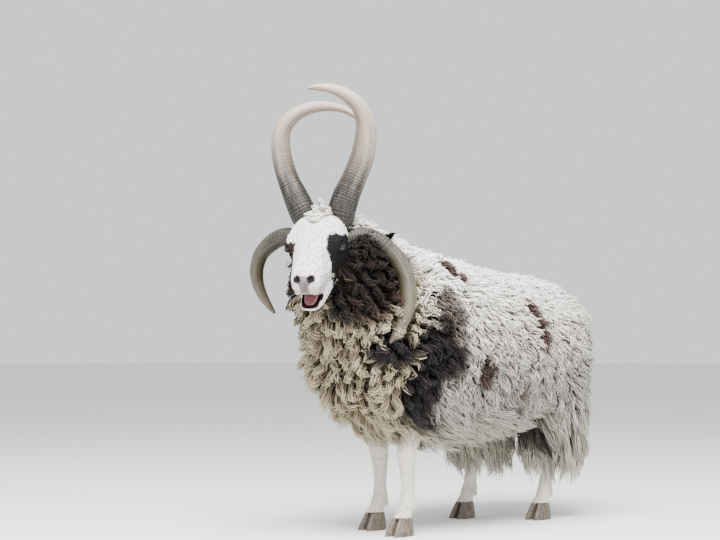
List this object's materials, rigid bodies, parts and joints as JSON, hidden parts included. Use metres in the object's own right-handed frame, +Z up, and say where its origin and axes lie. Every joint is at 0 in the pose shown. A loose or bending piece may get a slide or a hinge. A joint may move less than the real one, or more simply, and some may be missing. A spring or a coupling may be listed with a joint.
{
  "type": "life-size still model of a horned piebald sheep",
  "caption": "Life-size model of a standing long-woolled piebald ram with upright and curling side horns, head turned and mouth open, for display.",
  "frame": {"origin": "middle of the model's bounding box, on the ground", "axes": "-Y ahead of the ram, +Y towards its tail, +X its left side, +Z up"},
  "size_m": [0.54, 1.2304, 1.1228],
  "materials": {
    "wool": "matt shaggy fleece, off-white and tan with black and brown patches",
    "face": "short matt hair, white with a black cheek patch and a grey nose pad",
    "dark_hair": "short matt black hair",
    "tongue": "moist pink skin",
    "eye": "wet glossy eye with a dark level pupil",
    "horn": "dull ringed horn, grey-brown to olive",
    "leg_hair": "short matt white hair",
    "hoof": "dull dark hoof horn"
  },
  "bodies": {
    "root": {"torso": "wool", "neck": "wool", "breech_left": "wool", "breech_right": "wool", "tail": "wool", "head": "face", "tongue": "tongue", "eye_left": "eye", "eye_right": "eye", "ear_left": "dark_hair", "ear_right": "dark_hair", "horn_upper_left": "horn", "horn_upper_right": "horn", "horn_lower_left": "horn", "horn_lower_right": "horn", "leg_front_left": "leg_hair", "leg_front_right": "leg_hair", "leg_hind_left": "leg_hair", "leg_hind_right": "leg_hair", "hoof_front_left": "hoof", "hoof_front_right": "hoof", "hoof_hind_left": "hoof", "hoof_hind_right": "hoof"}
  },
  "joints": []
}
